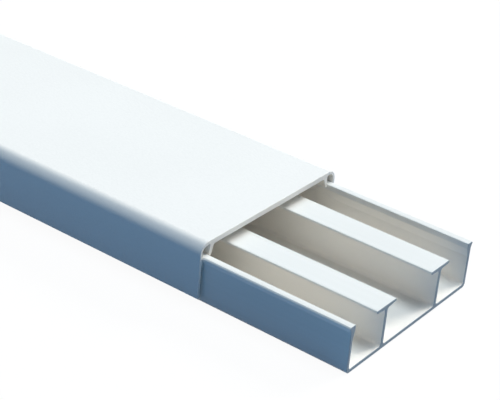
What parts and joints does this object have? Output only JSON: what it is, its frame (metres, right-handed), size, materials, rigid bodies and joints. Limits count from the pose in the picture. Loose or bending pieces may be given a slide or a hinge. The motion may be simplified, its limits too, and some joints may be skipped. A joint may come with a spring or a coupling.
{
  "type": "cord cover raceway",
  "caption": "Compartmented cord cover raceway: a flat-backed base channel with T-topped partitions, and a clip-on cover slid back to leave one end open.",
  "frame": {"origin": "the middle of the base channel's flat back", "axes": "+X along the raceway towards the end that the cover leaves open, +Y across it, +Z off the wall that it is fixed to"},
  "size_m": [0.446, 0.06, 0.018],
  "materials": {
    "base_pvc": "extruded white rigid PVC, satin, with faint die lines along its length",
    "cover_pvc": "extruded white rigid PVC, satin, with a fine even grain on its outside"
  },
  "bodies": {
    "base": {"base_channel": "base_pvc"},
    "cover": {"clip_cover": "cover_pvc"}
  },
  "joints": [
    {"name": "cover_slide", "type": "slide", "parent": "base", "child": "cover", "axis": [1, 0, 0], "range_m": [-0.355, 0.046]}
  ]
}
